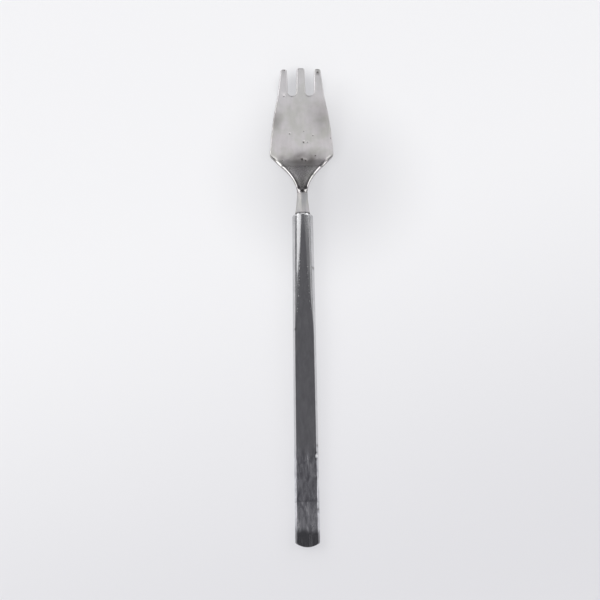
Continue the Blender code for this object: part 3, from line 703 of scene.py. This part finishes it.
def satinStainless():
    # forged stainless, satin finished and worn: a soft grey sheen with faint stains and dark pits,
    # duller on the brushed neck and glossier on the buffed shoulder and its rims
    f = satinFinish
    material, tree, shader = newMaterial("satin_stainless_forged")
    place = addNode(tree, "TexCoord").outputs["Object"]
    forward = addNode(tree, "SeparateXYZ", {"Vector": place}).outputs["Y"]
    neck = addNode(tree, "Attribute", attribute_name="neck")

    # broad clouds, and traces of colour from heat
    cloud = addNode(tree, "TexNoise", {"Vector": place, "Scale": patternScale(f["cloudSize"]),
                                       "Detail": 4.0, "Roughness": 0.6})
    clouded = addNode(tree, "MapRange", {"Value": cloud.outputs["Fac"], "From Min": 0.46, "From Max": 0.70,
                                         "To Max": 0.75})
    steel = addNode(tree, "Mix", {"Factor": clouded.outputs["Result"], "A": hexColour(f["steel"]),
                                  "B": hexColour(f["clouds"])}, data_type="RGBA")
    heat = addNode(tree, "TexNoise", {"Vector": place, "Scale": patternScale(f["tintSize"]), "Detail": 3.0})
    heated = addNode(tree, "MapRange", {"Value": heat.outputs["Fac"], "From Min": 0.4, "From Max": 0.6})
    tint = addNode(tree, "Mix", {"Factor": heated.outputs["Result"], "A": hexColour(f["strawTint"]),
                                 "B": hexColour(f["rosyTint"])}, data_type="RGBA")
    tinted = addNode(tree, "Mix", {"Factor": f["tintShare"], "A": steel.outputs["Result"],
                                   "B": tint.outputs["Result"]}, data_type="RGBA")

    # over that, tines rubbed pale and streaks left by grinding, plainest on the neck
    onTines = addNode(tree, "MapRange", {"Value": forward, "From Min": f["tinesFrom"] * mm,
                                         "From Max": f["tinesTo"] * mm, "To Max": f["tineShare"]},
                      interpolation_type="SMOOTHSTEP")
    ground = addNode(tree, "Mapping", {"Vector": place, "Scale": patternScale(*f["streakSize"])})
    streak = addNode(tree, "TexNoise", {"Vector": ground.outputs["Vector"], "Scale": 1.0, "Detail": 3.0})
    streaked = addNode(tree, "MapRange", {"Value": streak.outputs["Fac"], "From Min": 0.4, "From Max": 0.62})
    onNeck = addNode(tree, "MapRange", {"Value": neck.outputs["Fac"], "To Min": f["bladeStreaks"],
                                        "To Max": f["neckStreaks"]})
    streaks = addNode(tree, "Math", {0: streaked.outputs["Result"], 1: onNeck.outputs["Result"]},
                      operation="MULTIPLY")

    # then stained patches, dirt in the pits, and painted shade in the joint with the handle
    blotch = addNode(tree, "TexNoise", {"Vector": place, "Scale": patternScale(f["stainSize"]),
                                        "Detail": 3.0})
    blotched = addNode(tree, "MapRange", {"Value": blotch.outputs["Fac"], "From Min": 0.3, "From Max": 0.65,
                                          "To Min": 0.6, "To Max": 1.0})
    patch = addNode(tree, "Attribute", attribute_name="stain")
    patches = addNode(tree, "Math", {0: blotched.outputs["Result"], 1: patch.outputs["Fac"]},
                      operation="MULTIPLY")
    pit = addNode(tree, "Attribute", attribute_name="pit")
    # painted shade at the joint with the handle, laid in the same dark tone as the dirt in the pits
    jointShade = addNode(tree, "Attribute", attribute_name="jointShade")
    pitDirtAndJointShade = addNode(tree, "Math", {0: pit.outputs["Fac"], 1: jointShade.outputs["Fac"]}, operation="MAXIMUM")
    colour = tinted.outputs["Result"]
    for layer, tone in ((onTines, "tines"), (streaks, "streaks"), (patches, "stains"), (pitDirtAndJointShade, "pitsAndJointShade")):
        laid = addNode(tree, "Mix", {"Factor": layer.outputs[0], "A": colour, "B": hexColour(f[tone])},
                       data_type="RGBA")
        colour = laid.outputs["Result"]
    tree.links.new(colour, shader.inputs["Base Color"])

    # satin grain along the fork, drawn coarser than the real one so that it shows
    lines = addNode(tree, "Mapping", {"Vector": place, "Scale": patternScale(*f["grainSize"])})
    grain = addNode(tree, "TexNoise", {"Vector": lines.outputs["Vector"], "Scale": 1.0, "Detail": 3.0})
    worn = addNode(tree, "Attribute", attribute_name="worn")
    shoulder = addNode(tree, "Attribute", attribute_name="shoulder")
    rough = addNode(tree, "MapRange", {"Value": worn.outputs["Fac"], "From Max": 0.4,
                                       "To Min": f["roughness"], "To Max": f["rimRoughness"]})
    for finish, share in ((shoulder, f["shoulderPolish"]), (neck, f["neckBrushing"]),
                          (grain, f["grainRoughness"])):
        rough = addNode(tree, "Math", {0: finish.outputs["Fac"], 1: share, 2: rough.outputs[0]},
                        operation="MULTIPLY_ADD")
    tree.links.new(rough.outputs["Value"], shader.inputs["Roughness"])
    bump = addNode(tree, "Bump", {"Height": grain.outputs["Fac"], "Strength": f["grainBump"],
                                  "Distance": f["grainDepth"] * mm})
    tree.links.new(bump.outputs["Normal"], shader.inputs["Normal"])
    shader.inputs["Metallic"].default_value = 1.0
    return material


polishedFinish = {
    "steel": "cbcbcc", "scuffs": "b4b4b8", "darkSmear": "9c9ca2", "paleSmear": "efeff2",
    "darkReflection": "767679", "nicks": "4c4a4b", "paintedGlint": "f6f6f6",
    "roughness": 0.12, "lineRoughness": 0.22, "lineSize": (0.35, 14.0, 0.35), "lineBump": 0.06,
    "lineDepth": 0.05, "scratchSize": (0.9, 16.0, 4.0), "scratchTurn": math.radians(0.6),
    "smearSize": (1.3, 4.5, 4.0), "smearTurn": math.radians(-9.0), "speckSize": 0.6,
    "scuffRoughness": 0.16, "speckRoughness": 0.4, "glintScrapeRoughness": 0.9,
    # wear along the fork: where it starts, where it is full, least and most
    "zones": {"scuffs": (-35.0, -60.0, 0.12, 1.0), "smears": (-52.0, -60.0, 0.2, 1.0),
              "tailHaze": (-73.2, -73.8, 0.0, 0.04), "mouthHaze": (20.0, 31.0, 0.0, 0.07)},
    # where the painted dark reflection at the tail's end starts and is full, and how strong it is
    "darkReflectionFrom": -80.0, "darkReflectionTo": -83.0, "darkReflectionShare": 0.95, "raggedRun": 4.0,
    "grooveAt": -73.3, "grooveHalf": 0.16, "grooveShare": 0.3,
}


def polishedStainless():
    # pressed sheet stainless, buffed along its length: a clear mirror under fine lengthwise scratches,
    # rubbed along the bevel's edges, hazy near the tail, with a painted dark reflection at its very end and
    # a scrape painted pale as a glint
    f = polishedFinish
    material, tree, shader = newMaterial("polished_stainless_pressed")
    place = addNode(tree, "TexCoord").outputs["Object"]
    along = addNode(tree, "SeparateXYZ", {"Vector": place}).outputs["Y"]
    zones = {}
    for name, (first, full, least, most) in f["zones"].items():
        zone = addNode(tree, "MapRange", {"Value": along, "From Min": first * mm, "From Max": full * mm,
                                          "To Min": least, "To Max": most}, interpolation_type="SMOOTHSTEP")
        zones[name] = zone.outputs["Result"]

    # buffing lines and scratches, both drawn far wider than real ones so that they show
    lines = addNode(tree, "Mapping", {"Vector": place, "Scale": patternScale(*f["lineSize"])})
    grain = addNode(tree, "TexNoise", {"Vector": lines.outputs["Vector"], "Scale": 1.0, "Detail": 4.0})
    rough = addNode(tree, "MapRange", {"Value": grain.outputs["Fac"], "To Min": f["roughness"],
                                       "To Max": f["lineRoughness"]})
    hair = addNode(tree, "Mapping", {"Vector": place, "Rotation": (0.0, 0.0, f["scratchTurn"]),
                                     "Scale": patternScale(*f["scratchSize"])})
    scratch = addNode(tree, "TexNoise", {"Vector": hair.outputs["Vector"], "Scale": 1.0, "Detail": 5.0,
                                         "Roughness": 0.7})
    scratched = addNode(tree, "MapRange", {"Value": scratch.outputs["Fac"], "From Min": 0.55,
                                           "From Max": 0.75})
    scuffs = addNode(tree, "Math", {0: scratched.outputs["Result"], 1: zones["scuffs"]},
                     operation="MULTIPLY")

    # specks rubbed into the folds, and haze at both ends
    rubbed = addNode(tree, "TexNoise", {"Vector": place, "Scale": patternScale(f["speckSize"]),
                                        "Detail": 2.0})
    speck = addNode(tree, "MapRange", {"Value": rubbed.outputs["Fac"], "From Min": 0.57, "From Max": 0.66})
    crease = addNode(tree, "Attribute", attribute_name="crease")
    specks = addNode(tree, "Math", {0: speck.outputs["Result"], 1: crease.outputs["Fac"]},
                     operation="MULTIPLY")
    glintScrape = addNode(tree, "Attribute", attribute_name="glintScrape")
    for wear, share in ((scuffs.outputs["Value"], f["scuffRoughness"]), (zones["tailHaze"], 1.0),
                        (zones["mouthHaze"], 1.0), (specks.outputs["Value"], f["speckRoughness"]),
                        (glintScrape.outputs["Fac"], f["glintScrapeRoughness"])):
        rough = addNode(tree, "Math", {0: wear, 1: share, 2: rough.outputs[0]}, operation="MULTIPLY_ADD")
    tree.links.new(rough.outputs["Value"], shader.inputs["Roughness"])

    # smeared finger marks near the tail, darker and lighter than the polish
    dulled = addNode(tree, "Mix", {"Factor": scuffs.outputs["Value"], "A": hexColour(f["steel"]),
                                   "B": hexColour(f["scuffs"])}, data_type="RGBA")
    wiped = addNode(tree, "Mapping", {"Vector": place, "Rotation": (0.0, 0.0, f["smearTurn"]),
                                      "Scale": patternScale(*f["smearSize"])})
    smear = addNode(tree, "TexNoise", {"Vector": wiped.outputs["Vector"], "Scale": 1.0, "Detail": 4.0,
                                       "Roughness": 0.6, "Distortion": 0.6})
    mottled = addNode(tree, "MapRange", {"Value": smear.outputs["Fac"], "From Min": 0.34, "From Max": 0.68})
    mottle = addNode(tree, "Mix", {"Factor": mottled.outputs["Result"], "A": hexColour(f["darkSmear"]),
                                   "B": hexColour(f["paleSmear"])}, data_type="RGBA")
    smeared = addNode(tree, "Mix", {"Factor": zones["smears"], "A": dulled.outputs["Result"],
                                    "B": mottle.outputs["Result"]}, data_type="RGBA")

    # a painted dark reflection with a ragged edge at the tail's end, a fine groove across, nicks, and a
    # scrape painted pale as a glint
    ragged = addNode(tree, "Math", {0: smear.outputs["Fac"], 1: f["raggedRun"] * mm, 2: along},
                     operation="MULTIPLY_ADD")
    tailEnd = addNode(tree, "MapRange", {"Value": ragged.outputs["Value"], "From Min": f["darkReflectionFrom"] * mm,
                                         "From Max": f["darkReflectionTo"] * mm, "To Max": f["darkReflectionShare"]},
                      interpolation_type="SMOOTHSTEP")
    groove = addNode(tree, "Math", {0: along, 1: f["grooveAt"] * mm, 2: f["grooveHalf"] * mm},
                     operation="COMPARE")
    nick = addNode(tree, "Attribute", attribute_name="nick")
    marks = addNode(tree, "Math", {0: groove.outputs["Value"], 1: f["grooveShare"], 2: nick.outputs["Fac"]},
                    operation="MULTIPLY_ADD", use_clamp=True)
    # the scrape painted pale: a painted highlight
    glinting = addNode(tree, "MapRange", {"Value": glintScrape.outputs["Fac"], "From Min": 0.3, "From Max": 0.7})
    colour = smeared.outputs["Result"]
    for layer, tone in ((tailEnd, "darkReflection"), (marks, "nicks"), (glinting, "paintedGlint")):
        laid = addNode(tree, "Mix", {"Factor": layer.outputs[0], "A": colour, "B": hexColour(f[tone])},
                       data_type="RGBA")
        colour = laid.outputs["Result"]
    tree.links.new(colour, shader.inputs["Base Color"])
    bump = addNode(tree, "Bump", {"Height": grain.outputs["Fac"], "Strength": f["lineBump"],
                                  "Distance": f["lineDepth"] * mm})
    tree.links.new(bump.outputs["Normal"], shader.inputs["Normal"])
    shader.inputs["Metallic"].default_value = 1.0
    return material


brassFinish = {"brass": "dcb869", "flux": "9a7338", "fluxSize": 1.5, "bump": 0.3, "depth": 0.1}


def brazingBrass():
    # brass spelter run into the seam: dull yellow, darkened by flux in places
    f = brassFinish
    material, tree, shader = newMaterial("brass_spelter_brazed")
    place = addNode(tree, "TexCoord").outputs["Object"]
    flux = addNode(tree, "TexNoise", {"Vector": place, "Scale": patternScale(f["fluxSize"]), "Detail": 4.0})
    colour = addNode(tree, "Mix", {"Factor": flux.outputs["Fac"], "A": hexColour(f["brass"]),
                                   "B": hexColour(f["flux"])}, data_type="RGBA")
    tree.links.new(colour.outputs["Result"], shader.inputs["Base Color"])
    rough = addNode(tree, "MapRange", {"Value": flux.outputs["Fac"], "To Min": 0.25, "To Max": 0.5})
    tree.links.new(rough.outputs["Result"], shader.inputs["Roughness"])
    bump = addNode(tree, "Bump", {"Height": flux.outputs["Fac"], "Strength": f["bump"],
                                  "Distance": f["depth"] * mm})
    tree.links.new(bump.outputs["Normal"], shader.inputs["Normal"])
    shader.inputs["Metallic"].default_value = 1.0
    return material


cementFinish = {"pale": "a89c8c", "dark": "857a6b", "sandSize": 0.4, "bump": 0.5, "depth": 0.1,
                "roughness": 0.9}


def handleCement():
    # rosin and brick-dust cement poured round the tang: matt, sandy and brown-grey
    f = cementFinish
    material, tree, shader = newMaterial("rosin_cement_poured")
    place = addNode(tree, "TexCoord").outputs["Object"]
    sand = addNode(tree, "TexNoise", {"Vector": place, "Scale": patternScale(f["sandSize"]), "Detail": 5.0})
    colour = addNode(tree, "Mix", {"Factor": sand.outputs["Fac"], "A": hexColour(f["pale"]),
                                   "B": hexColour(f["dark"])}, data_type="RGBA")
    tree.links.new(colour.outputs["Result"], shader.inputs["Base Color"])
    bump = addNode(tree, "Bump", {"Height": sand.outputs["Fac"], "Strength": f["bump"],
                                  "Distance": f["depth"] * mm})
    tree.links.new(bump.outputs["Normal"], shader.inputs["Normal"])
    shader.inputs["Roughness"].default_value = f["roughness"]
    return material


def dress(piece, material, node):
    piece.data.materials.clear()
    piece.data.materials.append(material)
    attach(piece, "root")
    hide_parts(node)


dress(head, satinStainless(), "fork_head")
polished = polishedStainless()
dress(upperShell, polished, "handle_upper_shell")
dress(lowerShell, polished, "handle_lower_shell")
for node, material in (("seam_braze", brazingBrass()), ("tang_cement", handleCement())):
    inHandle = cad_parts[node]   # a solid that stays, hidden inside
    inHandle.data.materials.clear()
    inHandle.data.materials.append(material)
print("materials set")


# floor

paperFinish = {   # in metres, the drop and the radii in millimetres
    "size": 2.4, "squares": 8, "drop": 0.05, "roughness": 0.9,
    "nearTone": "e3e2e5", "farTone": "f6f6f8", "nearGlow": "dfdfe3", "farGlow": "f2f2f4",
    "fadeAim": (-0.3, 1.0, 0.0), "fadeFrom": -0.13, "fadeTo": 0.05, "glowShare": 0.65,
    # painted soft shadow round the shoulder and under the tines: centre, outer and inner radius, depth
    "paintedShadowTone": "b8b8bc", "paintedShadows": (((0.007, 0.049, 0.0), 46.0, 4.0, 0.38),
                                      ((0.0, 0.086, 0.0), 11.0, 3.0, 0.6)),
}
p = paperFinish
floorBody = bmesh.new()
bmesh.ops.create_grid(floorBody, x_segments=p["squares"], y_segments=p["squares"], size=p["size"] / 2.0)
floor = newPiece("paper_floor", floorBody)
floor.location.z = -p["drop"] * mm   # just clear of the fork
paper, paperTree, paperShader = newMaterial("matt_white_paper")   # pale, greyer towards the near side: a painted falloff of the light
onPaper = addNode(paperTree, "TexCoord").outputs["Object"]
slope = addNode(paperTree, "VectorMath", {0: onPaper, 1: p["fadeAim"]}, operation="DOT_PRODUCT")
fade = addNode(paperTree, "MapRange", {"Value": slope.outputs["Value"], "From Min": p["fadeFrom"],
                                       "From Max": p["fadeTo"]}, interpolation_type="SMOOTHSTEP")
paintedShadows = []   # painted shadows, for the lamps alone leave these places too light
for centre, outer, inner, depth in p["paintedShadows"]:
    away = addNode(paperTree, "VectorMath", {0: onPaper, 1: centre}, operation="DISTANCE")
    shade = addNode(paperTree, "MapRange", {"Value": away.outputs["Value"], "From Min": outer * mm,
                                            "From Max": inner * mm, "To Max": depth},
                    interpolation_type="SMOOTHSTEP")
    paintedShadows.append(shade.outputs["Result"])
deepest = addNode(paperTree, "Math", {0: paintedShadows[0], 1: paintedShadows[1]}, operation="MAXIMUM")
tones = []
for near, far in ((p["nearTone"], p["farTone"]), (p["nearGlow"], p["farGlow"])):
    sheet = addNode(paperTree, "Mix", {"Factor": fade.outputs["Result"], "A": hexColour(near),
                                       "B": hexColour(far)}, data_type="RGBA")
    tone = addNode(paperTree, "Mix", {"Factor": deepest.outputs["Value"], "A": sheet.outputs["Result"],
                                      "B": hexColour(p["paintedShadowTone"])}, data_type="RGBA")
    tones.append(tone.outputs["Result"])
paperTree.links.new(tones[0], paperShader.inputs["Base Color"])
paperShader.inputs["Roughness"].default_value = p["roughness"]
# seen directly or in the metal, the paper partly glows in its own tone: painted light that keeps its shadows
# pale
paperGlow = addNode(paperTree, "Emission", {"Color": tones[1]})
rays = addNode(paperTree, "LightPath")
seen = addNode(paperTree, "Math", {0: rays.outputs["Is Camera Ray"], 1: rays.outputs["Is Glossy Ray"]},
               operation="MAXIMUM")
share = addNode(paperTree, "Math", {0: seen.outputs["Value"], 1: p["glowShare"]}, operation="MULTIPLY")
surface = addNode(paperTree, "MixShader", {0: share.outputs["Value"], 1: paperShader.outputs["BSDF"],
                                           2: paperGlow.outputs["Emission"]})
paperTree.links.new(surface.outputs["Shader"], paperTree.nodes["Material Output"].inputs["Surface"])
floor.data.materials.append(paper)


# light

lamps = {   # place in metres, width and height, brightness of the panel
    "window_left": ((-1.2, 0.0, 1.05), 0.8, 0.8, 3.6),
    "window_right": ((1.2, 0.05, 1.0), 0.7, 0.85, 2.2),
    "window_behind": ((0.0, -1.45, 0.85), 1.8, 0.9, 0.6),
    "fill_far_right": ((1.27, 0.56, 0.45), 0.4, 0.55, 0.35),
    "softbox_above": ((0.0, -0.75, 1.41), 1.6, 1.7, 1.25),
    "key_far_left": ((-0.82, 0.56, 1.12), 0.75, 0.9, 0.93),
    "low_far_left": ((-0.84, 1.13, 0.54), 1.0, 0.9, 1.5),
    "low_far_right": ((0.80, 1.16, 0.5), 0.9, 0.82, 1.6),
    "low_back": ((0.0, 1.48, 0.23), 1.9, 0.22, 0.85),
}
for name, (place, width, height, level) in lamps.items():
    light = bpy.data.lights.new(name, "AREA")
    light.shape = "RECTANGLE"
    light.size, light.size_y = width, height
    light.energy = level * math.pi * width * height
    lamp = bpy.data.objects.new(name, light)
    lamp.location = place
    lamp.rotation_euler = (-Vector(place)).to_track_quat("-Z", "Y").to_euler()
    lamp.visible_camera = False
    scene.collection.objects.link(lamp)

roomLevels = {
    "walls": (0.26, 0.26, 0.267, 1.0), "seenWalls": "eeeef1",
    # the far side and the ceiling are dimmer, which the shoulder and the handle's flat mirror:
    # direction, where it starts and is full, brightness
    "dimmer": (((0.0, 0.682, 0.731), 0.91, 0.965, (0.1, 0.1, 0.104, 1.0)),
               ((0.0, 0.12, 0.993), 0.93, 0.99, (0.126, 0.124, 0.135, 1.0))),
}
r = roomLevels
world = bpy.data.worlds.new("pale_room")
scene.world = world
world.use_nodes = True
roomTree = world.node_tree
aim = addNode(roomTree, "TexCoord").outputs["Generated"]
room = r["walls"]
for direction, first, full, level in r["dimmer"]:
    turned = addNode(roomTree, "VectorMath", {0: aim, 1: direction}, operation="DOT_PRODUCT")
    within = addNode(roomTree, "MapRange", {"Value": turned.outputs["Value"], "From Min": first,
                                            "From Max": full}, interpolation_type="SMOOTHSTEP")
    dimmed = addNode(roomTree, "Mix", {"Factor": within.outputs["Result"], "A": room, "B": level},
                     data_type="RGBA")
    room = dimmed.outputs["Result"]
looks = addNode(roomTree, "LightPath")
backdrop = addNode(roomTree, "Mix", {"Factor": looks.outputs["Is Camera Ray"], "A": room,
                                     "B": hexColour(r["seenWalls"])}, data_type="RGBA")
roomTree.links.new(backdrop.outputs["Result"], roomTree.nodes["Background"].inputs["Color"])
print("floor and light set")


# camera

cameraSizes = {   # in metres, lens and sensor in millimetres
    "distance": 0.85, "elevation": math.radians(68.0), "turn": math.radians(-0.8),
    "lens": 143.8, "sensor": 36.0, "across": -0.0014, "up": 0.00215,
}
c = cameraSizes
cameraData = bpy.data.cameras.new("camera")
cameraData.lens = c["lens"]
cameraData.sensor_width = c["sensor"]
camera = bpy.data.objects.new("camera", cameraData)
scene.collection.objects.link(camera)
outward = math.cos(c["elevation"])
back = Vector((math.sin(c["turn"]) * outward, -math.cos(c["turn"]) * outward, math.sin(c["elevation"])))
facing = (-back).to_track_quat("-Z", "Y")
camera.rotation_euler = facing.to_euler()
camera.location = back * c["distance"] + facing @ Vector((c["across"], c["up"], 0.0))
scene.camera = camera
scene.view_settings.view_transform = "Standard"

print("scene ready")
